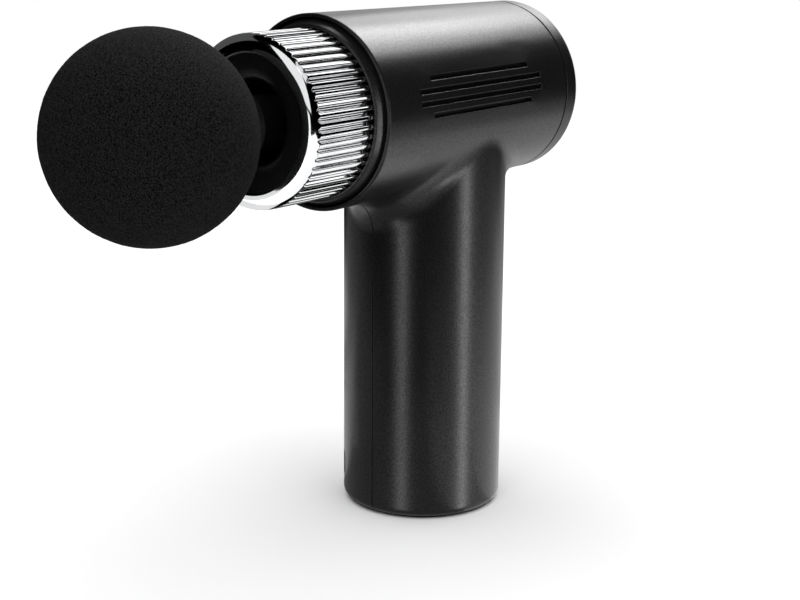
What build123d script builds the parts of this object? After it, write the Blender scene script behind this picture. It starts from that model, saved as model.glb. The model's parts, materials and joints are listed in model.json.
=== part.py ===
"""Pocket massage gun: an upright round handle under a horizontal round barrel.

The frame is +X forwards, the way the head strikes, +Z up and Y across the width.
The origin is the centre of the handle's base. All sizes are in millimetres.
"""

from build123d import *
from math import cos, radians, sin
import os

os.makedirs("parts", exist_ok=True)

# Housing
HANDLE_RADIUS = 20.0
BARREL_Z = 102.7  # height of the barrel's axis
BARREL_FRONT_X = 41.5
BARREL_REAR_X = -30.0  # where the rear cap begins
BARREL_FRONT_RADIUS = 22.5
BARREL_REAR_RADIUS = 21.5
WALL = 2.2
SEAM = 0.3  # gap between the housing's pieces
JOIN_FILLET = 9.0  # between handle and barrel
BASE_EDGE_RADIUS = 2.2
MOUTH_EDGE_RADIUS = 0.4
REAR_EDGE_CHAMFER = 0.2
PAD_RADIUS = 17.0
PAD_PROUD = 0.25  # how far the base pad stands below the shells
PAD_RECESS_Z = 1.2
VENT_LENGTHS = [39.5, 48.4, 48.4, 39.5]  # of the grooves in each side, from the lowest up
VENT_WIDTH = 1.2
VENT_CORNER_RADIUS = 0.3
VENT_SPACING = 2.8
VENT_MIDDLE_X = 5.4
VENT_FIRST_Z = BARREL_Z - 0.2

# Nose
RING_RADIUS = 19.4
RING_BORE_RADIUS = 17.6
RING_LIP_RADIUS = 15.9
RING_FRONT_X = 63.3
RING_LIP_DEPTH = 2.6
RIB_COUNT = 56
FLUTE_WIDTH = 1.0
FLUTE_DEPTH = 0.75
COLLAR_RADIUS = 21.3
COLLAR_FRONT_X = 43.2
COLLAR_REAR_X = 34.6
FLANGE_X = 31.9  # rear of the nose body's flange
FLANGE_RADIUS = 19.0
FLANGE_THICKNESS = 2.5
NOSE_BORE_RADIUS = 9.2
NOSE_FACE_X = 62.3
GUIDE_FRONT_X = 55.6
GUIDE_BORE_RADIUS = 10.05

# Rear cap, button and lights
CAP_REAR_X = -35.8
CAP_INNER_X = -33.6
BUTTON_RADIUS = 6.5
BUTTON_REAR_X = -36.3
LIGHT_RADIUS = 11.5
LIGHT_ANGLES = [45, 75, 105, 135]
BUTTON_BOARD_X = -26.9
CAP_POSTS = [(-12.5, -7.0), (12.5, -7.0)]  # y, and z from the barrel's axis

# Head
BALL_RADIUS = 22.7
BALL_X = 91.7
STEM_RADIUS = 5.93
STEM_REAR_X = 40.5
HUB_RADIUS = 8.35
HUB_REAR_X = 65.9
ANCHOR_RADIUS = 12.0
ANCHOR_REAR_X = 77.0
ANCHOR_FRONT_X = 80.0
O_RING_XS = [44.5, 50.5]
O_RING_SECTION = 0.8

# Drive
CRANK_RADIUS = 3.5
ROD_LENGTH = 25.5
ROD_THICKNESS = 4.0
PISTON_RADIUS = 7.95
PISTON_REAR_X = 17.0
PISTON_FRONT_X = 57.0
SOCKET_RADIUS = 6.0
SOCKET_DEPTH = 17.0
BUSH_CLEARANCE = 0.05
BUSH_OUTER_RADIUS = 10.0
MOTOR_RADIUS = 14.5
MOTOR_WALL = 1.2
MOTOR_BOTTOM_Z = 68.0
MOTOR_TOP_Z = 86.0
STATOR_BOTTOM_Z = 72.5
STATOR_TOP_Z = 83.5
STATOR_TEETH = 12
MAGNETS = 14
MOUNT_PLATE_Z = 87.3  # underside of the motor's mounting plate
MOUNT_TUBE_RADIUS = 5.0
FLOOR_Z = 89.8  # underside of the drive frame's floor
FLOOR_THICKNESS = 2.5
FRAME_WALL_X = 29.0  # rear of the drive frame's upright wall
FRAME_WALL_THICKNESS = 2.7
SHAFT_RADIUS = 1.98
BEARING_BORE_RADIUS = 2.02
BEARING_RADIUS = 4.0
CRANK_TOP_Z = 99.5
ROD_BEARING_RADIUS = 6.5
CRANK_PIN_RADIUS = 2.5
WRIST_PIN_RADIUS = 2.0

# Battery and boards
CELL_RADIUS = 8.1
CELL_HALF_PITCH = 8.2
CELL_BOTTOM_Z = 12.1
CELL_LENGTH = 50.0
HOLDER_PLATE = 1.3
BOARD_THICKNESS = 1.2
CONTROL_BOARD_X = 10.0
PORT_ANGLE = -58.0  # degrees round the handle from +X
PORT_Z = 9.0
FLAP_WIDTH = 12.6
FLAP_HEIGHT = 5.4
FLAP_GAP = 0.3  # all round the flap
FLAP_SEAT_RADIUS = 18.7
CHARGE_BOARD_Z = PORT_Z - 3.0
CHARGE_BOARD_RADIUS = 16.4
SOCKET_HEIGHT = 3.2  # of the charging socket's metal shell

# Fasteners
CASE_SCREWS = [(-13.4, 15.0), (-13.4, 58.0), (26.0, 87.0), (26.0, 118.0), (-20.0, 118.0)]  # x, z
CASE_HEAD_Y = -6.0  # where each case screw's head sits
CASE_BOSS_RADIUS = 2.6
SCREW_RADIUS = 1.0
SCREW_HOLE_RADIUS = 1.3
SCREW_HEAD_RADIUS = 2.1
SCREW_HEAD_HEIGHT = 1.6
MOTOR_SCREW_ANGLES = [30, 150, 270]
MOTOR_SCREW_CIRCLE = 10.5
MOTOR_SCREW_HEAD_RADIUS = 1.9
MOTOR_SCREW_HEAD_HEIGHT = 1.0
FRAME_SCREW_ANGLES = [25, 155, 205, 335]
FRAME_SCREW_CIRCLE = 15.2
BOARD_SCREW_RADIUS = 0.9

CRANK_PIN_X = -CRANK_RADIUS
WRIST_X = CRANK_PIN_X + ROD_LENGTH
ROD_BOTTOM_Z = BARREL_Z - ROD_THICKNESS / 2
ROD_TOP_Z = BARREL_Z + ROD_THICKNESS / 2
CELL_TOP_Z = CELL_BOTTOM_Z + CELL_LENGTH
CONTROL_FACE_X = CONTROL_BOARD_X + BOARD_THICKNESS
LOW = (Align.CENTER, Align.CENTER, Align.MIN)
BARREL_AXIS = Axis((0, 0, BARREL_Z), (1, 0, 0))


def on_barrel(*outline):
    """A solid turned about the barrel's axis from (x, radius) corners."""
    corners = [(x, radius + BARREL_Z) for x, radius in outline]
    return revolve(Plane.XZ * make_face(Polyline(*corners, close=True)), BARREL_AXIS)


def on_handle(*outline):
    """A solid turned about the handle's axis from (radius, z) corners."""
    return revolve(Plane.XZ * make_face(Polyline(*outline, close=True)), Axis.Z)


def barrel_ring(inner, outer, x0, x1):
    return on_barrel((x0, inner), (x1, inner), (x1, outer), (x0, outer))


def barrel_disc(radius, x0, x1):
    return barrel_ring(0, radius, x0, x1)


def ring(inner, outer, z0, z1):
    return on_handle((inner, z0), (outer, z0), (outer, z1), (inner, z1))


def disc(radius, z0, z1):
    return ring(0, radius, z0, z1)


def post(x, y, radius, z0, z1):
    return Pos(x, y, 0) * disc(radius, z0, z1)


def rod_along_x(y, z, radius, x0, x1):
    return Pos(x0, y, z) * Rot(0, 90, 0) * Cylinder(radius, x1 - x0, align=LOW)


def rod_along_y(x, z, radius, y0, y1):
    return Pos(x, y0, z) * Rot(-90, 0, 0) * Cylinder(radius, y1 - y0, align=LOW)


def block(x0, x1, y0, y1, z0, z1):
    centre = Pos((x0 + x1) / 2, (y0 + y1) / 2, (z0 + z1) / 2)
    return centre * Box(x1 - x0, y1 - y0, z1 - z0)


def screw(shank_radius, head_radius, head_height, length):
    """A pan-head screw along Z: the head's underside is at 0 and the tip below it."""
    body = disc(head_radius, 0, head_height) + disc(shank_radius, -length, 0)
    return body - disc(0.65 * shank_radius, head_height / 3, head_height + 1)


def together(pieces):
    """Separate solids that share one node."""
    return Compound([solid for piece in pieces for solid in piece.solids()])


def edges_between(shape, x0, x1, radius, tolerance=0.02):
    """Round edges about the barrel's axis, by place and radius."""
    return [
        edge
        for edge in shape.edges().filter_by(GeomType.CIRCLE)
        if x0 - tolerance <= edge.arc_center.X <= x1 + tolerance
        and abs(edge.radius - radius) < tolerance
        and abs(edge.arc_center.Y) < tolerance
        and abs(edge.arc_center.Z - BARREL_Z) < tolerance
    ]


# Housing


def handle_and_barrel(inset):
    """The housing's outer form, or the same form moved inwards by inset."""
    barrel = on_barrel(
        (BARREL_REAR_X, 0),
        (BARREL_REAR_X, BARREL_REAR_RADIUS - inset),
        (BARREL_FRONT_X, BARREL_FRONT_RADIUS - inset),
        (BARREL_FRONT_X, 0),
    )
    handle = disc(HANDLE_RADIUS - inset, PAD_PROUD + inset, BARREL_Z)
    form = barrel + handle
    join = [
        edge
        for edge in form.edges()
        if edge.bounding_box().min.Z > BARREL_Z / 2
        and edge.bounding_box().max.Z < BARREL_Z - 1
        and edge.geom_type not in (GeomType.LINE, GeomType.CIRCLE)
    ]
    return fillet(join, JOIN_FILLET - inset)


def vent_grooves(side):
    """Blind grooves one above another, as deep as half the wall."""
    depth = WALL / 2
    start_y = side * 14
    core = on_barrel(
        (BARREL_REAR_X, 0),
        (BARREL_REAR_X, BARREL_REAR_RADIUS - depth),
        (BARREL_FRONT_X, BARREL_FRONT_RADIUS - depth),
        (BARREL_FRONT_X, 0),
    )
    grooves = []
    for row, length in enumerate(VENT_LENGTHS):
        outline = Pos(VENT_MIDDLE_X, VENT_FIRST_Z + row * VENT_SPACING)
        outline *= RectangleRounded(length, VENT_WIDTH, VENT_CORNER_RADIUS)
        bar = extrude(Plane.XZ.offset(-start_y) * outline, -start_y)
        grooves.append(bar - core)
    return grooves


def port_frame():
    """The charging port's own directions: out of the handle is its +X."""
    return Pos(0, 0, PORT_Z) * Rot(0, 0, PORT_ANGLE)


def stadium_prism(width, height, x0, x1):
    """A bar along X with a rounded section, width along Y and height along Z."""
    outline = Plane.YZ.offset(x0) * SlotOverall(width, height)
    return extrude(outline, x1 - x0)


def rounded_prism(width, height, corner, x0, x1):
    outline = Plane.YZ.offset(x0) * RectangleRounded(width, height, corner)
    return extrude(outline, x1 - x0)


def case_half(side):
    """One half of the clamshell: side is 1 for the left (+Y), -1 for the right."""
    form = handle_and_barrel(0)
    base_edge = [edge for edge in form.edges() if abs(edge.center().Z - PAD_PROUD) < 0.01]
    outer = fillet(base_edge, BASE_EDGE_RADIUS)
    mouth_edge = edges_between(outer, BARREL_FRONT_X, BARREL_FRONT_X, BARREL_FRONT_RADIUS)
    outer = fillet(mouth_edge, MOUTH_EDGE_RADIUS)
    rear_edge = edges_between(outer, BARREL_REAR_X, BARREL_REAR_X, BARREL_REAR_RADIUS)
    outer = chamfer(rear_edge, REAR_EDGE_CHAMFER)
    shell = outer - handle_and_barrel(WALL)
    shell -= barrel_disc(BARREL_REAR_RADIUS - WALL, BARREL_REAR_X - 1, BARREL_REAR_X + 1)
    shell -= barrel_disc(BARREL_FRONT_RADIUS - 0.8, BARREL_FRONT_X - 3, BARREL_FRONT_X + 1)
    half_space = block(-60, 60, SEAM / 2, 40, -1, 140)
    if side < 0:
        half_space = mirror(half_space, Plane.XZ)
    half = shell & half_space
    half += post(-8, side * 10, 2, PAD_PROUD + WALL - 0.5, CHARGE_BOARD_Z)
    for x, z in CASE_SCREWS:
        boss = rod_along_y(x, z, CASE_BOSS_RADIUS, SEAM / 2, 24)
        if side < 0:
            boss = mirror(boss, Plane.XZ)
        half += boss & outer
    for x, z in CASE_SCREWS:
        if side > 0:
            half -= rod_along_y(x, z, SCREW_RADIUS, 0, 8)
        else:
            half -= rod_along_y(x, z, SCREW_HOLE_RADIUS, -24, 0)
            half -= rod_along_y(x, z, SCREW_HEAD_RADIUS + 0.4, -24, CASE_HEAD_Y)
    for groove in vent_grooves(side):
        half -= groove
    half -= disc(PAD_RADIUS + 0.1, -1, PAD_RECESS_Z)
    if side < 0:
        half -= port_frame() * stadium_prism(9.6, 3.8, 14, 22)
        recess = rounded_prism(FLAP_WIDTH + 2 * FLAP_GAP, FLAP_HEIGHT + 2 * FLAP_GAP, 1.5, 14, 22)
        half -= port_frame() * recess - disc(FLAP_SEAT_RADIUS, 0, 30)
    return half


def left_shell():
    return case_half(1)


def right_shell():
    return case_half(-1)


def case_screws():
    """Pan-head screws from the right half into the left half's bosses."""
    one = Rot(90, 0, 0) * screw(SCREW_RADIUS, SCREW_HEAD_RADIUS, SCREW_HEAD_HEIGHT, 13)
    return together([Pos(x, CASE_HEAD_Y, z) * one for x, z in CASE_SCREWS])


def base_pad():
    pad = disc(PAD_RADIUS, 0, PAD_RECESS_Z - 0.05)
    groove = ring(0.7 * PAD_RADIUS, 0.7 * PAD_RADIUS + 0.6, -1, 0.4)
    return pad - groove


def front_collar():
    """Black ring at the barrel's mouth, with a rounded shoulder round the chrome ring."""
    spigot_radius = BARREL_FRONT_RADIUS - WALL - 0.2
    flange_rear = BARREL_FRONT_X - 2.9
    seat_x = 40.0
    collar = on_barrel(
        (COLLAR_REAR_X, RING_BORE_RADIUS + 0.1),
        (COLLAR_REAR_X, spigot_radius),
        (flange_rear, spigot_radius),
        (flange_rear, COLLAR_RADIUS),
        (COLLAR_FRONT_X, COLLAR_RADIUS),
        (COLLAR_FRONT_X, RING_RADIUS + 0.1),
        (seat_x, RING_RADIUS + 0.1),
        (seat_x, RING_BORE_RADIUS + 0.1),
    )
    return fillet(edges_between(collar, COLLAR_FRONT_X, COLLAR_FRONT_X, COLLAR_RADIUS), 1.4)


def chrome_ring():
    """Fluted ring with a smooth rounded front lip, where the flutes run out to a point."""
    rear_x = COLLAR_FRONT_X - 3.1
    lip_rear = RING_FRONT_X - RING_LIP_DEPTH
    face_radius = RING_RADIUS - 2.1
    plain = on_barrel(
        (rear_x, RING_BORE_RADIUS),
        (rear_x, RING_RADIUS),
        (RING_FRONT_X - 2.2, RING_RADIUS),
        (RING_FRONT_X, face_radius),
        (RING_FRONT_X, RING_LIP_RADIUS + 0.7),
        (RING_FRONT_X - 0.7, RING_LIP_RADIUS),
        (lip_rear, RING_LIP_RADIUS),
        (lip_rear, RING_BORE_RADIUS),
    )
    plain = fillet(edges_between(plain, RING_FRONT_X, RING_FRONT_X, face_radius), 1.2)
    mouth = RING_RADIUS + 0.5
    valley = RING_RADIUS - FLUTE_DEPTH
    half_width = FLUTE_WIDTH / 2 * (mouth - valley) / FLUTE_DEPTH
    section = Polyline((-half_width, mouth), (half_width, mouth), (0, valley), close=True)
    flute = extrude(Plane.YZ.offset(rear_x - 1) * make_face(section), RING_FRONT_X - rear_x + 2)
    place = Pos(0, 0, BARREL_Z)
    return plain - [place * Rot(i * 360 / RIB_COUNT, 0, 0) * flute for i in range(RIB_COUNT)]


def nose_body():
    """Tube that carries the chrome ring outside and the piston's guide inside."""
    flange_front = FLANGE_X + FLANGE_THICKNESS
    tube_radius = RING_BORE_RADIUS - 0.1
    tube_bore = 15.6
    tube_front = RING_FRONT_X - RING_LIP_DEPTH - 0.1
    guide_radius = 12.0
    body = on_barrel(
        (FLANGE_X, GUIDE_BORE_RADIUS),
        (FLANGE_X, FLANGE_RADIUS),
        (flange_front, FLANGE_RADIUS),
        (flange_front, tube_radius),
        (tube_front, tube_radius),
        (tube_front, tube_bore),
        (flange_front + 2.6, tube_bore),
        (flange_front + 2.6, guide_radius),
        (GUIDE_FRONT_X, guide_radius),
        (GUIDE_FRONT_X, GUIDE_BORE_RADIUS),
    )
    for y, z in frame_screw_places():
        body -= rod_along_x(y, z, SCREW_RADIUS, FLANGE_X - 1, flange_front - 0.3)
    return body


def nose_plate():
    """Black front face inside the chrome ring, with a groove near its rim and a soft bore."""
    spigot_radius = 15.5
    rim_radius = RING_LIP_RADIUS - 0.1
    step_x = RING_FRONT_X - RING_LIP_DEPTH
    plate = on_barrel(
        (57.5, 14.2),
        (57.5, spigot_radius),
        (step_x, spigot_radius),
        (step_x, rim_radius),
        (NOSE_FACE_X, rim_radius),
        (NOSE_FACE_X, 15.3),
        (NOSE_FACE_X - 0.4, 15.1),
        (NOSE_FACE_X - 0.2, 14.8),
        (NOSE_FACE_X, NOSE_BORE_RADIUS),
        (59.4, NOSE_BORE_RADIUS),
        (59.4, 14.2),
    )
    return fillet(edges_between(plate, NOSE_FACE_X, NOSE_FACE_X, NOSE_BORE_RADIUS), 1.6)


def vibration_ring():
    outer_radius = BARREL_FRONT_RADIUS - WALL - 0.2
    return barrel_ring(FLANGE_RADIUS, outer_radius, FLANGE_X, FLANGE_X + FLANGE_THICKNESS)


def guide_bush():
    bore = PISTON_RADIUS + BUSH_CLEARANCE
    return barrel_ring(bore, BUSH_OUTER_RADIUS, FLANGE_X + 3.1, GUIDE_FRONT_X - 0.1)


# Rear cap, button and lights


def light_places():
    """Where the four charge lights are, as y and z."""
    places = []
    for angle in LIGHT_ANGLES:
        turn = radians(angle)
        places.append((LIGHT_RADIUS * cos(turn), BARREL_Z + LIGHT_RADIUS * sin(turn)))
    return places


def rear_cap():
    """Cup that closes the barrel, with a button hole, four light holes and two screw posts."""
    cap_radius = BARREL_REAR_RADIUS - 0.02
    front_x = BARREL_REAR_X - SEAM
    spigot_radius = BARREL_REAR_RADIUS - WALL - 0.1
    bore_radius = 18.0
    cap = on_barrel(
        (CAP_REAR_X, 0),
        (CAP_REAR_X, cap_radius),
        (front_x, cap_radius),
        (front_x, spigot_radius),
        (-26.0, spigot_radius),
        (-26.0, bore_radius),
        (CAP_INNER_X, bore_radius),
        (CAP_INNER_X, 0),
    )
    cap = fillet(edges_between(cap, CAP_REAR_X, CAP_REAR_X, cap_radius), 2.0)
    cap = chamfer(edges_between(cap, front_x, front_x, cap_radius), REAR_EDGE_CHAMFER)
    cap -= barrel_disc(BUTTON_RADIUS + 0.3, CAP_REAR_X - 1, CAP_INNER_X + 1)
    cap -= barrel_disc(BUTTON_RADIUS + 1.7, CAP_REAR_X - 1, CAP_REAR_X + 0.4)
    for y, z in light_places():
        cap -= rod_along_x(y, z, 0.95, CAP_REAR_X - 1, CAP_INNER_X + 1)
    for y, z in CAP_POSTS:
        cap += rod_along_x(y, BARREL_Z + z, 2.4, CAP_INNER_X - 0.5, BUTTON_BOARD_X)
        cap -= rod_along_x(y, BARREL_Z + z, BOARD_SCREW_RADIUS, CAP_INNER_X + 0.5, BUTTON_BOARD_X + 1)
    return cap


def power_button():
    """Round push button with a retaining flange behind the cap's wall."""
    flange_x = CAP_INNER_X + 0.1
    button = on_barrel(
        (BUTTON_REAR_X, 0),
        (BUTTON_REAR_X, BUTTON_RADIUS),
        (flange_x, BUTTON_RADIUS),
        (flange_x, BUTTON_RADIUS + 1.1),
        (flange_x + 0.9, BUTTON_RADIUS + 1.1),
        (flange_x + 0.9, 1.6),
        (-31.0, 1.6),
        (-31.0, 0),
    )
    return fillet(edges_between(button, BUTTON_REAR_X, BUTTON_REAR_X, BUTTON_RADIUS), 0.5)


def switch_plunger():
    return barrel_disc(1.6, -31.0, -29.2)


def tact_switch():
    half = 3.1
    body = block(-30.4, BUTTON_BOARD_X, -half, half, BARREL_Z - half, BARREL_Z + half)
    return body - barrel_disc(1.7, -31, -28.4)


def button_board():
    front_x = BUTTON_BOARD_X + BOARD_THICKNESS
    board = barrel_disc(17.3, BUTTON_BOARD_X, front_x)
    for y, z in CAP_POSTS:
        board -= rod_along_x(y, BARREL_Z + z, 1.2, BUTTON_BOARD_X - 1, front_x + 1)
    return board


def board_screws():
    """Screws that hold the button board on the cap's posts."""
    one = Rot(0, 90, 0) * screw(BOARD_SCREW_RADIUS, 1.9, 1.3, 6.3)
    x = BUTTON_BOARD_X + BOARD_THICKNESS
    return together([Pos(x, y, BARREL_Z + z) * one for y, z in CAP_POSTS])


def led_chips():
    x0 = BUTTON_BOARD_X - 0.7
    chips = [block(x0, BUTTON_BOARD_X, y - 0.8, y + 0.8, z - 0.5, z + 0.5) for y, z in light_places()]
    return together(chips)


def led_light_pipes():
    """One clear plug per light, from the cap's outside to its chip."""
    pipes = []
    for y, z in light_places():
        plug = rod_along_x(y, z, 0.9, CAP_REAR_X - 0.05, BUTTON_BOARD_X - 1.1)
        pipes.append(plug + rod_along_x(y, z, 1.4, CAP_INNER_X, CAP_INNER_X + 1))
    return together(pipes)


# Drive


def frame_screw_places():
    """Where the nose is screwed to the drive frame, as y and z."""
    places = []
    for angle in FRAME_SCREW_ANGLES:
        turn = radians(angle)
        places.append((FRAME_SCREW_CIRCLE * cos(turn), BARREL_Z + FRAME_SCREW_CIRCLE * sin(turn)))
    return places


def at_motor_screws(piece):
    """Copies of a piece round the motor's axis, one at each motor screw."""
    return [Rot(0, 0, angle) * Pos(MOTOR_SCREW_CIRCLE, 0, 0) * piece for angle in MOTOR_SCREW_ANGLES]


def drive_frame():
    """Floor that carries the motor, and a front wall that carries the nose."""
    wall_front = FRAME_WALL_X + FRAME_WALL_THICKNESS
    head_seat_z = FLOOR_Z + FLOOR_THICKNESS - MOTOR_SCREW_HEAD_HEIGHT
    frame = block(-15, wall_front, -14, 14, FLOOR_Z, FLOOR_Z + FLOOR_THICKNESS)
    frame += barrel_disc(18.6, FRAME_WALL_X, wall_front) & block(20, 40, -20, 20, FLOOR_Z, 130)
    for y in (-13.25, 13.25):
        frame += block(15, FRAME_WALL_X + 1, y - 0.75, y + 0.75, FLOOR_Z, FLOOR_Z + 4)
    frame -= disc(MOUNT_TUBE_RADIUS + 1, FLOOR_Z - 1, FLOOR_Z + 4)
    frame -= barrel_disc(11.0, FRAME_WALL_X - 1, wall_front + 1)
    for hole in at_motor_screws(disc(SCREW_HOLE_RADIUS, FLOOR_Z - 1, FLOOR_Z + 4)):
        frame -= hole
    for seat in at_motor_screws(disc(MOTOR_SCREW_HEAD_RADIUS + 0.2, head_seat_z, FLOOR_Z + 4)):
        frame -= seat
    for y, z in frame_screw_places():
        frame -= rod_along_x(y, z, SCREW_HOLE_RADIUS, FRAME_WALL_X - 1, wall_front + 1)
    return frame


def frame_screws():
    """Screws from behind the frame's wall into the nose body's flange."""
    one = Rot(0, -90, 0) * screw(SCREW_RADIUS, SCREW_HEAD_RADIUS, SCREW_HEAD_HEIGHT, 5)
    return together([Pos(FRAME_WALL_X, y, z) * one for y, z in frame_screw_places()])


def motor_mount():
    """Plate under the drive frame, with the tube that holds the motor's bearings."""
    plate = disc(14.8, MOUNT_PLATE_Z, FLOOR_Z)
    tube = disc(MOUNT_TUBE_RADIUS, MOTOR_BOTTOM_Z + 2.4, MOUNT_PLATE_Z + 1)
    mount = plate + tube - disc(BEARING_RADIUS, MOTOR_BOTTOM_Z, FLOOR_Z + 1)
    for hole in at_motor_screws(disc(SCREW_RADIUS, MOUNT_PLATE_Z - 1, FLOOR_Z + 1)):
        mount -= hole
    return mount


def motor_screws():
    """Screws down through the frame's floor into the motor's mounting plate."""
    one = screw(SCREW_RADIUS, MOTOR_SCREW_HEAD_RADIUS, MOTOR_SCREW_HEAD_HEIGHT, 3.8)
    seat_z = FLOOR_Z + FLOOR_THICKNESS - MOTOR_SCREW_HEAD_HEIGHT
    return together(at_motor_screws(Pos(0, 0, seat_z) * one))


def motor_bearings():
    """Two ball bearings, each drawn as one ring with its races' groove."""
    rings = []
    for z in (MOTOR_BOTTOM_Z + 2.6, MOUNT_PLATE_Z - 0.8):
        bearing = ring(BEARING_BORE_RADIUS, BEARING_RADIUS, z, z + 3.0)
        for groove_z in (z - 1, z + 2.7):
            bearing -= ring(2.7, 3.3, groove_z, groove_z + 1.3)
        rings.append(bearing)
    return together(rings)


def stator_core():
    """Laminated core: a ring with a tooth and a shoe for each coil."""
    core = ring(MOUNT_TUBE_RADIUS, 7.2, STATOR_BOTTOM_Z, STATOR_TOP_Z)
    tooth = block(6.5, 11.0, -0.9, 0.9, STATOR_BOTTOM_Z, STATOR_TOP_Z)
    shoe = ring(10.4, 11.5, STATOR_BOTTOM_Z, STATOR_TOP_Z) & block(8, 12, -2.3, 2.3, 70, 90)
    for index in range(STATOR_TEETH):
        core += Rot(0, 0, index * 360 / STATOR_TEETH) * (tooth + shoe)
    return core


def stator_windings():
    """One coil round each tooth."""
    overhang = 1.1
    outside = block(8.0, 10.2, -2.0, 2.0, STATOR_BOTTOM_Z - overhang, STATOR_TOP_Z + overhang)
    inside = block(7, 11, -0.92, 0.92, STATOR_BOTTOM_Z - 0.02, STATOR_TOP_Z + 0.02)
    coil = outside - inside
    return together([Rot(0, 0, i * 360 / STATOR_TEETH) * coil for i in range(STATOR_TEETH)])


def rotor_can():
    """Outer rotor: a cup with a hub on the shaft and six holes in its floor."""
    inner_radius = MOTOR_RADIUS - MOTOR_WALL
    can = on_handle(
        (SHAFT_RADIUS, MOTOR_BOTTOM_Z),
        (MOTOR_RADIUS, MOTOR_BOTTOM_Z),
        (MOTOR_RADIUS, MOTOR_TOP_Z),
        (inner_radius, MOTOR_TOP_Z),
        (inner_radius, MOTOR_BOTTOM_Z + 1.2),
        (4.0, MOTOR_BOTTOM_Z + 1.2),
        (4.0, MOTOR_BOTTOM_Z + 2.0),
        (SHAFT_RADIUS, MOTOR_BOTTOM_Z + 2.0),
    )
    for hole in range(6):
        can -= Rot(0, 0, hole * 60) * post(9.0, 0, 2.2, MOTOR_BOTTOM_Z - 1, MOTOR_BOTTOM_Z + 3)
    return can


def rotor_magnets():
    wedge = block(8, 16, -2.6, 2.6, 70, 90)
    magnet = ring(11.9, MOTOR_RADIUS - MOTOR_WALL, 71.5, 84.5) & wedge
    return together([Rot(0, 0, i * 360 / MAGNETS) * magnet for i in range(MAGNETS)])


def motor_shaft():
    return disc(SHAFT_RADIUS, MOTOR_BOTTOM_Z - 0.8, CRANK_TOP_Z - 0.1)


def crank_disc():
    """Eccentric disc: thin under the pin, with its counterweight on the other side."""
    plate = disc(8.0, CRANK_TOP_Z - 3.2, CRANK_TOP_Z)
    hub = disc(5.0, CRANK_TOP_Z - 6.0, CRANK_TOP_Z)
    weight = disc(13.5, CRANK_TOP_Z - 6.0, CRANK_TOP_Z) & block(1, 20, -20, 20, 80, 120)
    return plate + hub + weight - disc(SHAFT_RADIUS, 80, CRANK_TOP_Z + 1)


def crank_pin():
    """Pin and washer head. Its lower end stops just above the crank disc."""
    shank = post(CRANK_PIN_X, 0, CRANK_PIN_RADIUS, CRANK_TOP_Z + 0.2, ROD_TOP_Z)
    return shank + post(CRANK_PIN_X, 0, 3.6, ROD_TOP_Z, ROD_TOP_Z + 0.8)


def rod_bearing():
    """Ball bearing in the rod's large eye, drawn as one ring with its races' grooves."""
    bearing = ring(CRANK_PIN_RADIUS, ROD_BEARING_RADIUS, ROD_BOTTOM_Z, ROD_TOP_Z)
    for groove_z in (ROD_BOTTOM_Z - 1, ROD_TOP_Z - 0.3):
        bearing -= ring(3.7, 5.3, groove_z, groove_z + 1.3)
    return Pos(CRANK_PIN_X, 0, 0) * bearing


def connecting_rod():
    """Flat rod: a large eye round the crank's bearing, a small eye on the wrist pin."""
    big_eye = post(CRANK_PIN_X, 0, ROD_BEARING_RADIUS + 2.1, ROD_BOTTOM_Z, ROD_TOP_Z)
    small_eye = post(WRIST_X, 0, 4.6, ROD_BOTTOM_Z, ROD_TOP_Z)
    web = block(CRANK_PIN_X, WRIST_X, -3.2, 3.2, ROD_BOTTOM_Z, ROD_TOP_Z)
    rod = big_eye + small_eye + web
    rod -= post(CRANK_PIN_X, 0, ROD_BEARING_RADIUS, ROD_BOTTOM_Z - 1, ROD_TOP_Z + 1)
    rod -= post(WRIST_X, 0, WRIST_PIN_RADIUS + 0.05, ROD_BOTTOM_Z - 1, ROD_TOP_Z + 1)
    for pocket_z in (ROD_BOTTOM_Z - 1, ROD_TOP_Z - 0.8):
        rod -= block(7, 15, -1.8, 1.8, pocket_z, pocket_z + 1.8)
    return rod


def wrist_pin():
    return post(WRIST_X, 0, WRIST_PIN_RADIUS, BARREL_Z - 7.0, BARREL_Z + 7.0)


def piston():
    """Plunger with a fork for the rod behind and a socket for the head in front."""
    plunger = barrel_disc(PISTON_RADIUS, PISTON_REAR_X, PISTON_FRONT_X)
    plunger = chamfer(edges_between(plunger, PISTON_FRONT_X, PISTON_FRONT_X, PISTON_RADIUS), 0.6)
    slot_rear = PISTON_REAR_X - 1
    slot_front = WRIST_X + 6
    plunger -= block(slot_rear, slot_front, -10, 10, ROD_BOTTOM_Z - 0.3, ROD_TOP_Z + 0.3)
    plunger -= post(WRIST_X, 0, WRIST_PIN_RADIUS, BARREL_Z - 10, BARREL_Z + 10)
    return plunger - barrel_disc(SOCKET_RADIUS, PISTON_FRONT_X - SOCKET_DEPTH, PISTON_FRONT_X + 1)


# Massage head


def head_stem():
    """Stem, hub and the anchor that the foam is moulded round."""
    stem = on_barrel(
        (STEM_REAR_X, 0),
        (STEM_REAR_X, STEM_RADIUS - 0.6),
        (STEM_REAR_X + 0.6, STEM_RADIUS),
        (HUB_REAR_X, STEM_RADIUS),
        (HUB_REAR_X, HUB_RADIUS),
        (ANCHOR_REAR_X, HUB_RADIUS),
        (ANCHOR_REAR_X, ANCHOR_RADIUS),
        (ANCHOR_FRONT_X, ANCHOR_RADIUS),
        (ANCHOR_FRONT_X, 0),
    )
    for x in O_RING_XS:
        groove_floor = STEM_RADIUS - 2 * O_RING_SECTION - 0.05
        stem -= barrel_ring(groove_floor, STEM_RADIUS + 1, x - 0.9, x + 0.9)
    return fillet(edges_between(stem, HUB_REAR_X, HUB_REAR_X, HUB_RADIUS), 0.4)


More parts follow.
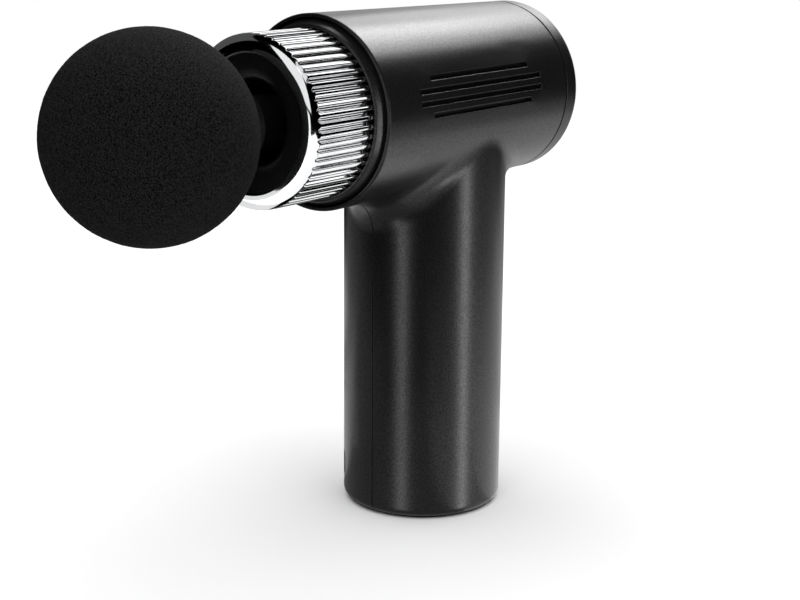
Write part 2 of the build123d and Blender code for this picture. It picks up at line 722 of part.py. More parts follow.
def stem_o_rings():
    """O-rings at their squeezed size, just inside the socket."""
    one = Rot(0, 90, 0) * Torus(STEM_RADIUS - O_RING_SECTION - 0.05, O_RING_SECTION)
    return together([Pos(x, 0, BARREL_Z) * one for x in O_RING_XS])


def foam_ball():
    """Round foam head, hollow only where the stem's anchor fills it."""
    ball = Pos(BALL_X, 0, BARREL_Z) * Sphere(BALL_RADIUS)
    anchor = on_barrel(
        (HUB_REAR_X, 0),
        (HUB_REAR_X, HUB_RADIUS),
        (ANCHOR_REAR_X, HUB_RADIUS),
        (ANCHOR_REAR_X, ANCHOR_RADIUS),
        (ANCHOR_FRONT_X, ANCHOR_RADIUS),
        (ANCHOR_FRONT_X, 0),
    )
    return ball - anchor


# Battery and electronics


def battery_cell(side):
    cell = post(0, side * CELL_HALF_PITCH, CELL_RADIUS, CELL_BOTTOM_Z, CELL_TOP_Z)
    return fillet(cell.edges().filter_by(GeomType.CIRCLE), 0.5)


def battery_cell_left():
    return battery_cell(1)


def battery_cell_right():
    return battery_cell(-1)


def battery_holder():
    """Two end plates joined by a spine behind the cells."""
    width = 2 * (CELL_HALF_PITCH + CELL_RADIUS) + 0.6
    outline = SlotOverall(width, 2 * CELL_RADIUS + 0.6, rotation=90)
    bottom_z = CELL_BOTTOM_Z - HOLDER_PLATE - 0.2
    top_z = CELL_TOP_Z + 0.2
    holder = extrude(Pos(0, 0, bottom_z) * outline, HOLDER_PLATE)
    holder += extrude(Pos(0, 0, top_z) * outline, HOLDER_PLATE)
    holder += block(-9.8, -8.3, -5, 5, bottom_z, top_z + HOLDER_PLATE)
    for y in (-9, 9):
        holder -= post(0, y, 4.0, top_z - 1, top_z + HOLDER_PLATE + 1)
    return holder


def battery_links():
    """Spot-welded strips: the series link below, one tab on each cell above."""
    link = block(-3, 3, -11, 11, CELL_BOTTOM_Z - 0.2, CELL_BOTTOM_Z)
    tabs = [block(-2.6, 2.6, y - 2.6, y + 2.6, CELL_TOP_Z, CELL_TOP_Z + 0.2) for y in (-9, 9)]
    return together([link, *tabs])


def control_board():
    return block(CONTROL_BOARD_X, CONTROL_FACE_X, -12, 12, 14, 60)


def board_components():
    """Controller, six power transistors and three capacitors on the board's face."""
    chips = [block(CONTROL_FACE_X, CONTROL_FACE_X + 1.0, -3, 3, 32, 38)]
    for row in range(3):
        for y in (-7.5, 4.5):
            z = 42 + row * 4.2
            chips.append(block(CONTROL_FACE_X, CONTROL_FACE_X + 1.1, y, y + 3, z, z + 3))
    for y in (-6, 0, 6):
        chips.append(rod_along_x(y, 24, 2.2, CONTROL_FACE_X, CONTROL_FACE_X + 3.2))
    return together(chips)


def charge_board():
    return disc(CHARGE_BOARD_RADIUS, CHARGE_BOARD_Z, CHARGE_BOARD_Z + BOARD_THICKNESS)


def usb_socket():
    """Metal receptacle on the charging board, mouth outwards."""
    shell = stadium_prism(8.9, SOCKET_HEIGHT, 9.6, 16.9)
    mouth = stadium_prism(8.3, SOCKET_HEIGHT - 0.6, 10.4, 17.9)
    tongue = block(10.2, 16.3, -3.3, 3.3, -0.35, 0.35)
    socket_z = CHARGE_BOARD_Z + BOARD_THICKNESS + SOCKET_HEIGHT / 2
    return Pos(0, 0, socket_z - PORT_Z) * port_frame() * (shell - mouth + tongue)


def port_flap():
    """Rubber cover, flush with the handle, with a short plug behind it and a nail notch."""
    cover = port_frame() * rounded_prism(FLAP_WIDTH, FLAP_HEIGHT, 1.2, 14, 22)
    cover &= ring(FLAP_SEAT_RADIUS + 0.1, HANDLE_RADIUS, 0, 30)
    plug = stadium_prism(8.2, 2.2, 17.9, FLAP_SEAT_RADIUS + 0.5)
    notch = Pos(HANDLE_RADIUS - 0.1, 0, -FLAP_HEIGHT / 2) * Sphere(0.8)
    return cover + port_frame() * plug - port_frame() * notch


# Wires


def wire(radius, widest_bend, *points):
    """A wire through the given corners, each bend as wide as its runs and the case allow."""
    corners = [Vector(*point) for point in points]
    bends = []
    for before, corner, after in zip(corners, corners[1:], corners[2:]):
        turn = (corner - before).get_angle(after - corner)
        run = min((corner - before).length, (after - corner).length)
        half_turn = sin(radians(turn / 2)) / cos(radians(turn / 2))
        bends.append(min(0.45 * run / half_turn, widest_bend))
    path = FilletPolyline(*corners, radius=bends)
    start = Plane(origin=path @ 0, z_dir=path % 0)
    return sweep(start * Circle(radius), path)


def motor_wires():
    """Three leads from the stator, down past the rotor can to the control board."""
    wires = []
    x = CONTROL_FACE_X + 0.6
    for y in (-2.2, 0, 2.2):
        corners = [(9.0, y, 86.65), (16.4, y, 86.65), (16.4, y, 66), (x, y, 62), (x, y, 58)]
        wires.append(wire(0.45, 1.2, *corners))
    return together(wires)


def battery_wires():
    wires = []
    x = CONTROL_FACE_X + 0.6
    z = CELL_TOP_Z + 3.2
    for y in (-9, 9):
        wires.append(wire(0.5, 2.0, (0, y, CELL_TOP_Z + 0.2), (0, y, z), (x, y, z), (x, y, 57)))
    return together(wires)


def button_cable():
    """Cable from the button board, down behind the motor and over the cells."""
    x = CONTROL_FACE_X + 0.8
    board_x = BUTTON_BOARD_X + BOARD_THICKNESS
    corners = [(board_x, 6, 91), (-15.8, 6, 91), (-15.8, 6, 65.3), (x, 6, 65.3), (x, 6, 56)]
    return wire(0.6, 3.0, *corners)


NODES = [
    left_shell,
    right_shell,
    case_screws,
    base_pad,
    front_collar,
    chrome_ring,
    nose_body,
    nose_plate,
    vibration_ring,
    guide_bush,
    rear_cap,
    power_button,
    switch_plunger,
    tact_switch,
    button_board,
    board_screws,
    led_chips,
    led_light_pipes,
    drive_frame,
    frame_screws,
    motor_mount,
    motor_screws,
    motor_bearings,
    stator_core,
    stator_windings,
    rotor_can,
    rotor_magnets,
    motor_shaft,
    crank_disc,
    crank_pin,
    rod_bearing,
    connecting_rod,
    wrist_pin,
    piston,
    head_stem,
    stem_o_rings,
    foam_ball,
    battery_cell_left,
    battery_cell_right,
    battery_holder,
    battery_links,
    control_board,
    board_components,
    charge_board,
    usb_socket,
    port_flap,
    motor_wires,
    battery_wires,
    button_cable,
]

for node in NODES:
    export_step(node(), f"parts/{node.__name__}.step")
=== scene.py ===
import json
import math

import bmesh
import bpy
from mathutils import Matrix, Vector, noise


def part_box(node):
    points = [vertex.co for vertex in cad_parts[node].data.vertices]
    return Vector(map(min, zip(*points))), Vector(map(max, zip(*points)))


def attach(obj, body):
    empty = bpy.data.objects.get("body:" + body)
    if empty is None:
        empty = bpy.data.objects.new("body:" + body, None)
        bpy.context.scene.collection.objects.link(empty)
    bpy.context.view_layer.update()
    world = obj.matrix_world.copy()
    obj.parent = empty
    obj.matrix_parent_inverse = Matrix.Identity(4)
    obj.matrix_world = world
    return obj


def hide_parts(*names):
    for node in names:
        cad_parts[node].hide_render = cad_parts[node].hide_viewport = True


# Pocket massage gun. Metres, +X the way the head strikes, +Z up, origin at the middle of the
# handle's base.

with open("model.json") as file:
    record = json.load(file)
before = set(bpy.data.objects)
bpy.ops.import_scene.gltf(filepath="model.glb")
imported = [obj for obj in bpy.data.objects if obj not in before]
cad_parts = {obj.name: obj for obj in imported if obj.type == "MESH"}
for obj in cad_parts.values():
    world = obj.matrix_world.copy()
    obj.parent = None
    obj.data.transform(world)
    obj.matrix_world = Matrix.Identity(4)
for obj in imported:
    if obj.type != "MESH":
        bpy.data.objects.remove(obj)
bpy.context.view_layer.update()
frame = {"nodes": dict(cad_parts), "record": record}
nodes = frame["nodes"]
scene = bpy.context.scene

# Places, read from the frame

MM = 0.001
BALL_LOW, BALL_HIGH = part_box("foam_ball")
BALL_RADIUS = (BALL_HIGH.y - BALL_LOW.y) / 2
BALL_CENTRE = Vector((BALL_HIGH.x - BALL_RADIUS, 0, (BALL_LOW.z + BALL_HIGH.z) / 2))
RING_LOW, RING_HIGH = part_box("chrome_ring")
RING_RADIUS = (RING_HIGH.z - RING_LOW.z) / 2
BARREL_Z = (RING_LOW.z + RING_HIGH.z) / 2
COLLAR_LOW, COLLAR_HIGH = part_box("front_collar")
COLLAR_RADIUS = (COLLAR_HIGH.z - COLLAR_LOW.z) / 2
PLATE_LOW, PLATE_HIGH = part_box("nose_plate")
PLATE_RADIUS = (PLATE_HIGH.z - PLATE_LOW.z) / 2


# Camera

CAMERA_AZIMUTH = math.radians(128.63)
CAMERA_ELEVATION = math.radians(14.0)
CAMERA_ROLL = math.radians(0.454)
CAMERA_DISTANCE = 0.4227
CAMERA_TARGET = Vector((0.009365, 0, 0.05298))
CAMERA_LENS = 76.67  # millimetres, for a sensor of that width
CAMERA_SENSOR = 36
CAMERA_CLIP_START = 0.01


def side_direction(azimuth, elevation):
    """The way out to that side, angles in radians: azimuth 0 is -Y and 90 degrees is +X."""
    flat = math.cos(elevation)
    return Vector((math.sin(azimuth) * flat, -math.cos(azimuth) * flat, math.sin(elevation)))


def add_camera():
    data = bpy.data.cameras.new("camera")
    data.lens = CAMERA_LENS
    data.sensor_width = CAMERA_SENSOR
    data.clip_start = CAMERA_CLIP_START
    camera = bpy.data.objects.new("camera", data)
    scene.collection.objects.link(camera)
    away = side_direction(CAMERA_AZIMUTH, CAMERA_ELEVATION)
    turn = away.to_track_quat("Z", "Y").to_matrix() @ Matrix.Rotation(CAMERA_ROLL, 3, "Z")
    place = CAMERA_TARGET + CAMERA_DISTANCE * away
    camera.matrix_world = Matrix.Translation(place) @ turn.to_4x4()
    scene.camera = camera


# Light

LIGHT_AIM = Vector((0, 0, 0.08))
GLOW_HEIGHT = 0.4 * MM

# Softboxes: azimuth and elevation in degrees, distance, width, height, radiance.
# Floor glows: azimuth in degrees, distance, length, width, radiance.
BLACK_SOFTBOXES = {
    "top_rear_softbox": (294, 61, 1.0, 0.52, 0.44, 5.6),
    "top_right_softbox": (270, 46, 1.0, 0.52, 0.38, 6.4),
    "rear_softbox": (289, 34, 1.0, 0.52, 0.42, 2.6),
    "right_strip": (190, -10, 1.0, 0.17, 1.1, 6),
    "left_strip": (99, -10, 1.0, 0.22, 1.1, 2.6),
    "left_softbox": (90, 37, 1.0, 0.52, 0.44, 1.7),
    "backdrop": (297, 10, 1.2, 1.2, 0.8, 0.75),
    "rear_left_softbox": (10, 20, 1.0, 0.6, 0.7, 0.12),
}
BLACK_GLOWS = {
    "floor_behind": (288, 0.23, 0.46, 0.4, 0.56),
    "floor_right": (222, 0.26, 0.5, 0.4, 0.44),
    "floor_left": (8, 0.25, 0.4, 0.3, 0.3),
    "floor_under": (0, 0, 0.2, 0.2, 0.25),
}
CHROME_GLOWS = {
    "chrome_floor_front": (128, 0.3, 0.5, 0.5, 1.2),
    "chrome_floor_left": (38, 0.3, 0.5, 0.5, 0.85),
    "chrome_floor_right": (238, 0.3, 0.5, 0.16, 1.1),
    "chrome_floor_behind": (308, 0.3, 0.5, 0.4, 0.25),
}
CHROME_SOFTBOXES = {
    "chrome_front": (105, 38, 1.0, 1.0, 1.1, 0.95),
    "chrome_low_left": (100, -3, 1.0, 0.5, 0.3, 1.1),
    "chrome_above": (190, 60, 1.0, 0.9, 0.4, 0.9),
    "chrome_right": (232, 16, 1.0, 0.4, 0.22, 1.4),
    "chrome_top": (275, 46, 1.0, 0.7, 0.3, 1.6),
    "chrome_rear": (300, 14, 1.0, 0.9, 0.3, 0.6),
    "chrome_left": (2, 28, 1.0, 1.3, 0.9, 0.08),
}
COLLAR_SOFTBOXES = {
    "collar_softbox": (195, -8, 1.0, 0.3, 0.6, 8),
}
OVERHEAD_PANEL = (128, 84, 2.0, 4.0, 4.0, 2.45)


def softbox(name, azimuth, elevation, distance, width, height, radiance):
    """A rectangular light aimed at the object, as bright as a white sheet times radiance."""
    data = bpy.data.lights.new(name, "AREA")
    data.shape = "RECTANGLE"
    data.size = width
    data.size_y = height
    data.energy = radiance * math.pi * width * height
    light = bpy.data.objects.new(name, data)
    scene.collection.objects.link(light)
    away = side_direction(math.radians(azimuth), math.radians(elevation))
    turn = away.to_track_quat("Z", "Y").to_matrix()
    light.matrix_world = Matrix.Translation(LIGHT_AIM + distance * away) @ turn.to_4x4()
    light.visible_camera = False
    return light


def floor_glow(name, azimuth, distance, length, width, radiance):
    """The lit floor on that side, as gloss sees it: a sheet whose length runs outwards."""
    light = softbox(name, azimuth, 0, 0, length, width, radiance)
    way = side_direction(math.radians(azimuth), 0)
    turn = Matrix.Rotation(math.atan2(way.y, way.x), 4, "Z") @ Matrix.Rotation(math.pi, 4, "X")
    place = distance * way + Vector((0, 0, GLOW_HEIGHT))
    light.matrix_world = Matrix.Translation(place) @ turn
    return light


def lights_of(make, settings):
    return [make(name, *values) for name, values in settings.items()]


def light_only(lights, name, pieces, state):
    """Lets the lights reach these pieces alone (INCLUDE), or everything but them (EXCLUDE)."""
    group = bpy.data.collections.new(name)
    for piece in pieces:
        group.objects.link(piece)
    for member in group.collection_objects:
        member.light_linking.link_state = state
    for light in lights:
        light.light_linking.receiver_collection = group


def add_lights(floor, ring, nose_pieces):
    """Softboxes that shape the black pieces, a set for the chrome, and a panel for the floor."""
    shaping = lights_of(softbox, BLACK_SOFTBOXES) + lights_of(floor_glow, BLACK_GLOWS)
    light_only(shaping, "not_lit_by_softboxes", [floor, ring], "EXCLUDE")
    chrome = lights_of(floor_glow, CHROME_GLOWS) + lights_of(softbox, CHROME_SOFTBOXES)
    light_only(chrome, "lit_by_chrome_lights", [ring], "INCLUDE")
    nose = lights_of(softbox, COLLAR_SOFTBOXES)
    light_only(nose, "lit_by_nose_lights", nose_pieces, "INCLUDE")
    overhead = softbox("overhead_panel", *OVERHEAD_PANEL)
    overhead.visible_glossy = False


def add_world():
    """A white backdrop that the camera sees and that lights nothing."""
    world = bpy.data.worlds.new("studio")
    world.use_nodes = True
    background = world.node_tree.nodes["Background"]
    background.inputs["Color"].default_value = (1, 1, 1, 1)
    background.inputs["Strength"].default_value = 1.0
    scene.world = world
    world.cycles_visibility.glossy = False
    world.cycles_visibility.diffuse = False
    scene.view_settings.view_transform = "Standard"


FLOOR_SIDES = 96
FLOOR_RADIUS = 0.8
FLOOR_HEIGHT = -0.0001


def add_floor():
    """A pale disc under the base. It takes shadows, but throws none and shows in no reflection."""
    bpy.ops.mesh.primitive_circle_add(
        vertices=FLOOR_SIDES, radius=FLOOR_RADIUS, fill_type="NGON", location=(0, 0, FLOOR_HEIGHT))
    floor = bpy.context.object
    floor.name = "floor"
    floor.data.materials.append(floor_material())
    floor.visible_glossy = False
    floor.visible_shadow = False
    return floor


# Materials

NOISE_BAND = (0.3, 0.7)  # where nearly all of a noise texture's values lie
RAMP_BAND = (0.35, 0.65)


def new_material(name, **settings):
    """A node material and its Principled shader, with the named sockets set."""
    material = bpy.data.materials.new(name)
    material.use_nodes = True
    shader = material.node_tree.nodes["Principled BSDF"]
    for socket, value in settings.items():
        shader.inputs[socket.replace("_", " ")].default_value = value
    return material, shader


def link(material, a, b):
    material.node_tree.links.new(a, b)


def add_node(material, kind, **settings):
    node = material.node_tree.nodes.new(kind)
    for name, value in settings.items():
        setattr(node, name, value)
    return node


def noise_value(material, scale, detail=4.0, roughness=0.5, stretch=None):
    """Noise from 0 to 1, that many cells per metre; stretch scales it along X, Y and Z."""
    point = add_node(material, "ShaderNodeTexCoord").outputs["Object"]
    if stretch:
        mapping = add_node(material, "ShaderNodeMapping")
        mapping.inputs["Scale"].default_value = stretch
        link(material, point, mapping.inputs["Vector"])
        point = mapping.outputs["Vector"]
    texture = add_node(material, "ShaderNodeTexNoise")
    texture.inputs["Scale"].default_value = scale
    texture.inputs["Detail"].default_value = detail
    texture.inputs["Roughness"].default_value = roughness
    link(material, point, texture.inputs["Vector"])
    return texture.outputs["Fac"]


def ranged(material, value, low, high):
    """The noise value spread over the range from low to high."""
    node = add_node(material, "ShaderNodeMapRange")
    node.inputs["From Min"].default_value = NOISE_BAND[0]
    node.inputs["From Max"].default_value = NOISE_BAND[1]
    node.inputs["To Min"].default_value = low
    node.inputs["To Max"].default_value = high
    link(material, value, node.inputs["Value"])
    return node.outputs["Result"]


def two_colours(material, value, dark, light):
    ramp = add_node(material, "ShaderNodeValToRGB")
    for element, position, colour in zip(ramp.color_ramp.elements, RAMP_BAND, (dark, light)):
        element.position = position
        element.color = (*colour, 1)
    link(material, value, ramp.inputs["Fac"])
    return ramp.outputs["Color"]


def bump(material, shader, value, distance, edge=0):
    """Raises the surface by the value; edge is how wide the sharp edges look rounded."""
    node = add_node(material, "ShaderNodeBump")
    node.inputs["Distance"].default_value = distance
    link(material, value, node.inputs["Height"])
    if edge:
        rounded = add_node(material, "ShaderNodeBevel", samples=6)
        rounded.inputs["Radius"].default_value = edge
        link(material, rounded.outputs["Normal"], node.inputs["Normal"])
    link(material, node.outputs["Normal"], shader.inputs["Normal"])


# Noise cells per metre, and depths in metres
PLASTIC_TINT_CELLS = 60
PLASTIC_GLOSS_CELLS = 90
PLASTIC_GRAIN_CELLS = 2600
PLASTIC_GRAIN_DEPTH = 0.000006
PLASTIC_GRAIN_SPECULAR = (0.3, 0.7)
PLASTIC_EDGE = 0.00025
METAL_TINT_CELLS = 120
METAL_STREAK_CELLS = 1500
METAL_STREAK_DEPTH = 0.000004
FLOOR_TINT_CELLS = 3
FLOOR_TINTS = ((0.9, 0.9, 0.9), (0.94, 0.94, 0.94))
FOAM_SPECKLE_CELLS = 3000
FOAM_SPECKLE_DEPTH = 0.00008
FOAM_TINTS = ((0.0004, 0.0004, 0.0004), (0.0125, 0.0125, 0.0128))


def tinted(material, shader, cells, dark, light):
    """Lets the base colour drift between the two."""
    tint = two_colours(material, noise_value(material, cells), dark, light)
    link(material, tint, shader.inputs["Base Color"])


def moulded_plastic(name, dark, light, rough):
    """Injection-moulded plastic: a fine eroded grain and slow changes of gloss."""
    material, shader = new_material(name)
    tinted(material, shader, PLASTIC_TINT_CELLS, dark, light)
    gloss = noise_value(material, PLASTIC_GLOSS_CELLS, detail=6)
    link(material, ranged(material, gloss, *rough), shader.inputs["Roughness"])
    grain = noise_value(material, PLASTIC_GRAIN_CELLS, detail=3)
    specular = ranged(material, grain, *PLASTIC_GRAIN_SPECULAR)
    link(material, specular, shader.inputs["Specular IOR Level"])
    bump(material, shader, grain, PLASTIC_GRAIN_DEPTH, PLASTIC_EDGE)
    return material


def metal(name, dark, light, rough, stretch):
    """Metal with fine streaks that the stretch draws out along an axis."""
    material, shader = new_material(name, Metallic=1.0)
    tinted(material, shader, METAL_TINT_CELLS, dark, light)
    streaks = noise_value(material, METAL_STREAK_CELLS, roughness=0.6, stretch=stretch)
    link(material, ranged(material, streaks, *rough), shader.inputs["Roughness"])
    bump(material, shader, streaks, METAL_STREAK_DEPTH)
    return material


def floor_material():
    material, shader = new_material("floor_white", Roughness=0.8, Specular_IOR_Level=0.0)
    tinted(material, shader, FLOOR_TINT_CELLS, *FLOOR_TINTS)
    return material


def foam_material():
    """Closed-cell foam: near-black, dull, with a fine pale speckle."""
    material, shader = new_material("foam", Roughness=0.9, Specular_IOR_Level=0.06)
    speckle = noise_value(material, FOAM_SPECKLE_CELLS, detail=2, roughness=0.6)
    link(material, two_colours(material, speckle, *FOAM_TINTS), shader.inputs["Base Color"])
    bump(material, shader, speckle, FOAM_SPECKLE_DEPTH)
    return material


# Dark colour, light colour and roughness range of each plastic; a metal has its stretch too
PLASTICS = {
    "satin_black": ((0.0038, 0.0038, 0.0041), (0.005, 0.005, 0.0054), (0.28, 0.3)),
    "gloss_black": ((0.003, 0.003, 0.0033), (0.0045, 0.0045, 0.005), (0.3, 0.36)),
    "collar_black": ((0.004, 0.004, 0.0043), (0.0055, 0.0055, 0.006), (0.29, 0.35)),
    "inner_black": ((0.01, 0.01, 0.011), (0.015, 0.015, 0.016), (0.5, 0.6)),
    "black_acetal": ((0.005, 0.005, 0.005), (0.008, 0.008, 0.008), (0.35, 0.45)),
    "black_rubber": ((0.008, 0.008, 0.009), (0.014, 0.014, 0.015), (0.6, 0.75)),
    "board_green": ((0.01, 0.1, 0.04), (0.02, 0.14, 0.06), (0.3, 0.4)),
    "led_white": ((0.75, 0.74, 0.6), (0.85, 0.84, 0.72), (0.2, 0.3)),
    "clear_plastic": ((0.75, 0.78, 0.8), (0.8, 0.82, 0.85), (0.15, 0.25)),
    "wire_sleeve": ((0.3, 0.02, 0.02), (0.4, 0.03, 0.03), (0.4, 0.5)),
    "wire_yellow": ((0.5, 0.35, 0.03), (0.6, 0.43, 0.05), (0.4, 0.5)),
    "cable_grey": ((0.15, 0.15, 0.16), (0.2, 0.2, 0.21), (0.45, 0.55)),
    "cell_wrap": ((0.02, 0.09, 0.28), (0.03, 0.13, 0.36), (0.25, 0.35)),
}
METALS = {
    "chrome_plate": ((0.8, 0.81, 0.82), (0.88, 0.89, 0.9), (0.06, 0.1), (1, 1, 1)),
    "cast_alloy": ((0.45, 0.46, 0.47), (0.6, 0.61, 0.63), (0.4, 0.55), (1, 1, 1)),
    "turned_steel": ((0.45, 0.46, 0.47), (0.6, 0.61, 0.62), (0.2, 0.35), (1, 1, 8)),
    "piston_alloy": ((0.02, 0.02, 0.022), (0.03, 0.03, 0.033), (0.3, 0.4), (8, 1, 1)),
    "screw_steel": ((0.15, 0.15, 0.16), (0.25, 0.25, 0.26), (0.3, 0.4), (1, 1, 1)),
    "stator_iron": ((0.14, 0.14, 0.15), (0.24, 0.24, 0.25), (0.35, 0.5), (1, 1, 12)),
    "copper_wire": ((0.55, 0.22, 0.08), (0.75, 0.36, 0.17), (0.25, 0.4), (1, 1, 10)),
    "magnet_nickel": ((0.5, 0.49, 0.46), (0.62, 0.61, 0.58), (0.15, 0.25), (1, 1, 1)),
    "nickel_strip": ((0.55, 0.54, 0.5), (0.68, 0.67, 0.64), (0.25, 0.35), (1, 1, 1)),
}


def make_materials():
    """One node material for each slot of the record."""
    made = {"black_foam": foam_material()}
    for slot, settings in PLASTICS.items():
        made[slot] = moulded_plastic(slot, *settings)
    for slot, settings in METALS.items():
        made[slot] = metal(slot, *settings)
    return made


def dress_cad_nodes(materials):
    """Gives each carried-over CAD node the node material of its slot in the record."""
    for part in frame["record"]["subparts"]:
        data = nodes[part["node"]].data
        data.materials.clear()
        data.materials.append(materials[part["material_slot"]])


# Pieces made here

TURNED_COLUMNS = 160


def smoothstep(low, high, value):
    t = min(max((value - low) / (high - low), 0), 1)
    return t * t * (3 - 2 * t)


def finish_piece(name, mesh_data, body, material, sharp=40):
    """Makes the object, smooth but for edges sharper than that angle, and hangs it under its body.
    """
    data = bpy.data.meshes.new(name)
    mesh_data.to_mesh(data)
    mesh_data.free()
    data.shade_smooth()
    data.set_sharp_from_angle(angle=math.radians(sharp))
    data.materials.append(material)
    piece = bpy.data.objects.new(name, data)
    scene.collection.objects.link(piece)
    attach(piece, body)
    return piece


def on_barrel(x, radius, angle):
    """A point round the barrel's axis."""
    return Vector((x, radius * math.cos(angle), BARREL_Z + radius * math.sin(angle)))


def revolved(outline, columns=TURNED_COLUMNS, shape=None):
    """A closed (x, radius) outline turned round the barrel's axis.

    shape(turn, x) is the most that the radius can be there, with turn from 0 to 1.
    """
    shell = bmesh.new()
    rows = []
    for column in range(columns):
        turn = column / columns
        row = []
        for x, radius in outline:
            r = min(radius, shape(turn, x)) if shape else radius
            row.append(shell.verts.new(on_barrel(x, r, 2 * math.pi * turn)))
        rows.append(row)
    for column in range(columns):
        row, following = rows[column], rows[(column + 1) % columns]
        for i in range(len(outline)):
            j = (i + 1) % len(outline)
            shell.faces.new((row[i], row[j], following[j], following[i]))
    bmesh.ops.recalc_face_normals(shell, faces=shell.faces)
    return shell


def arc(centre, radius_x, radius_r, start, end, steps):
    """Points of an elliptical arc in (x, radius), angles in degrees from the +X direction."""
    points = []
    for step in range(steps + 1):
        a = math.radians(start + (end - start) * step / steps)
        points.append((centre[0] + radius_x * math.cos(a), centre[1] + radius_r * math.sin(a)))
    return points


RIB_COUNT = 56
RIB_STEPS = 14
RIB_CROWN = 0.2 * MM
RIB_RUN_OUT = 1.5 * MM
RIB_OVERLAP = 1.0 * MM  # how far the ribs reach into the nose's rounding
GROOVE_DEPTH = 0.62 * MM
GROOVE_HALF_WIDTH = 0.29  # of one rib's pitch
NOSE_ROUND_LENGTH = 2.5 * MM
NOSE_ROUND_DROP = 3.0 * MM
LIP_DROP = 3.5 * MM
LIP_DEPTH = 2.6 * MM
RING_WALL = 1.8 * MM
RIB_END = RING_HIGH.x - NOSE_ROUND_LENGTH + RIB_OVERLAP
RING_STRAIGHT_STEPS = 8
RING_RUN_OUT_STEPS = 5
RING_ROUND_STEPS = 18


def ring_outline():
    """The chrome ring's section, from its rear bore edge over the outside to its lip and back."""
    rear, front, radius = RING_LOW.x, RING_HIGH.x, RING_RADIUS
    straight_end = front - NOSE_ROUND_LENGTH
    run_out = RIB_END - RIB_RUN_OUT
    outside = []
    for step in range(RING_STRAIGHT_STEPS):
        outside.append((rear + (run_out - rear) * step / RING_STRAIGHT_STEPS, radius))
    for step in range(RING_RUN_OUT_STEPS + 1):
        outside.append((run_out + (straight_end - run_out) * step / RING_RUN_OUT_STEPS, radius))
    centre = (straight_end, radius - NOSE_ROUND_DROP)
    rounding = arc(centre, NOSE_ROUND_LENGTH, NOSE_ROUND_DROP, 90, 0, RING_ROUND_STEPS)
    lip = radius - LIP_DROP
    bore = radius - RING_WALL
    inside = [(front, lip), (front - LIP_DEPTH, lip), (front - LIP_DEPTH, bore), (rear, bore)]
    return outside + rounding[1:] + inside


def rib_radius(turn, x):
    """The ribbed surface's radius: rounded crests, grooves that run out towards the front."""
    place = turn * RIB_COUNT
    distance = abs((place + 0.5) % 1 - 0.5)
    run_out = smoothstep(RIB_END - RIB_RUN_OUT, RIB_END, x)
    groove = GROOVE_DEPTH * (1 - smoothstep(0, GROOVE_HALF_WIDTH, distance) - run_out)
    crown = RIB_CROWN * (1 - 2 * distance) ** 2 * (1 - run_out)
    return RING_RADIUS - max(groove, 0) - crown


def fluted_ring(material):
    """Nose ring: rounded ribs between narrow grooves, and a smooth rolled lip in front."""
    shell = revolved(ring_outline(), RIB_COUNT * RIB_STEPS, rib_radius)
    piece = finish_piece("fluted_nose_ring", shell, "housing", material, sharp=60)
    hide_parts("chrome_ring")
    return piece


COLLAR_GAP = 0.1 * MM
COLLAR_SEAT_X = RING_LOW.x - COLLAR_GAP
COLLAR_SHOULDER = 3.0 * MM
COLLAR_SHOULDER_DROP = 1.1 * MM
COLLAR_CHAMFER = 0.1 * MM
COLLAR_EDGE = 0.35 * MM
COLLAR_EDGE_START = 66  # degrees: where the slope of the shoulder meets the edge's arc
COLLAR_SPIGOT_DROP = 1.4 * MM


def mouth_collar(material):
    """Black collar whose shoulder slopes from the chrome ring out to the barrel's mouth."""
    rear, front, radius = COLLAR_LOW.x, COLLAR_HIGH.x, COLLAR_RADIUS
    shoulder_rear = front - COLLAR_SHOULDER
    spigot = radius - COLLAR_SPIGOT_DROP
    outside = [
        (rear, spigot),
        (shoulder_rear, spigot),
        (shoulder_rear, radius - COLLAR_CHAMFER),
        (shoulder_rear + COLLAR_CHAMFER, radius),
    ]
    edge_centre = (front - COLLAR_EDGE, radius - COLLAR_SHOULDER_DROP - COLLAR_EDGE)
    edge = arc(edge_centre, COLLAR_EDGE, COLLAR_EDGE, COLLAR_EDGE_START, 0, 8)
    bore = RING_RADIUS + COLLAR_GAP
    seat = RING_RADIUS - RING_WALL + COLLAR_GAP
    inside = [(front, bore), (COLLAR_SEAT_X, bore), (COLLAR_SEAT_X, seat), (rear, seat)]
    shell = revolved(outside + edge + inside)
    piece = finish_piece("mouth_collar", shell, "housing", material)
    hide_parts("front_collar")
    return piece


PLATE_BORE = 9.2 * MM
PLATE_DEPTH = 2.9 * MM
PLATE_ROLL = 2.4 * MM
PLATE_ROLL_WIDTH = 4.2 * MM
PLATE_EDGE = 0.9 * MM


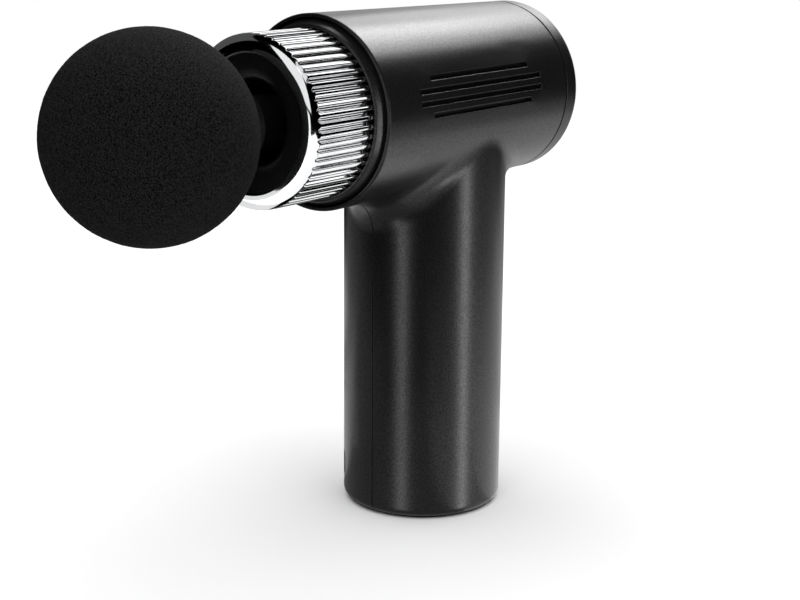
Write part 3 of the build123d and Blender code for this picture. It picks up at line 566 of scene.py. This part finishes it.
def nose_face(material):
    """Black front plate: a soft edge inside the chrome lip and a broad roll into the bore."""
    front, outer = PLATE_HIGH.x, PLATE_RADIUS
    rear = front - PLATE_DEPTH
    edge = arc((front - PLATE_EDGE, outer - PLATE_EDGE), PLATE_EDGE, PLATE_EDGE, 90, 0, 8)
    roll_centre = (front - PLATE_ROLL, PLATE_BORE + PLATE_ROLL_WIDTH)
    roll = arc(roll_centre, PLATE_ROLL, -PLATE_ROLL_WIDTH, 0, 90, 16)
    shell = revolved([(rear, outer)] + edge + roll + [(rear, PLATE_BORE)])
    piece = finish_piece("nose_face", shell, "housing", material)
    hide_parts("nose_plate")
    return piece


FOAM_CUTS = 126  # along each edge of the cube that becomes the ball
FOAM_DEPTH = 0.09 * MM
FINE_CELLS = 34
FINER_CELLS = 70
FINER_SHARE = 0.6
FINE_SHARE = 0.45
SLOW_CELLS = 5
SLOW_SHARE = 0.5
HUB_HOLE = 8.5 * MM
HUB_LIP = 1.1 * MM
HUB_LIP_START = HUB_HOLE - 0.2 * MM
HUB_HOLE_DEPTH = 5.0 * MM


def foam_head(material):
    """Foam ball with a fine open skin and a hole whose edge rolls in round the hub."""
    ball = bmesh.new()
    bmesh.ops.create_cube(ball, size=2)
    bmesh.ops.subdivide_edges(ball, edges=ball.edges, cuts=FOAM_CUTS, use_grid_fill=True)
    for vertex in ball.verts:
        x, y, z = (math.tan(c * math.pi / 4) for c in vertex.co)
        way = Vector((x, y, z)).normalized()
        fine = noise.noise(way * FINE_CELLS) + FINER_SHARE * noise.noise(way * FINER_CELLS)
        slow = noise.noise(way * SLOW_CELLS)
        depth = FOAM_DEPTH * (0.5 - FINE_SHARE * fine) + SLOW_SHARE * FOAM_DEPTH * (0.5 - slow)
        place = BALL_CENTRE + way * (BALL_RADIUS - max(depth, 0))
        across = math.hypot(place.y - BALL_CENTRE.y, place.z - BALL_CENTRE.z)
        if way.x < 0 and across < HUB_HOLE + HUB_LIP:
            open_part = 1 - smoothstep(HUB_LIP_START, HUB_HOLE + HUB_LIP, across)
            place.x += HUB_HOLE_DEPTH * open_part ** 2
        vertex.co = place
    bmesh.ops.recalc_face_normals(ball, faces=ball.faces)
    piece = finish_piece("foam_head", ball, "head", material, sharp=180)
    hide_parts("foam_ball")


materials = make_materials()
dress_cad_nodes(materials)
ring = fluted_ring(materials["chrome_plate"])
collar = mouth_collar(materials["collar_black"])
plate = nose_face(materials["gloss_black"])
foam_head(materials["black_foam"])
add_camera()
add_world()
add_lights(add_floor(), ring, [collar, plate])
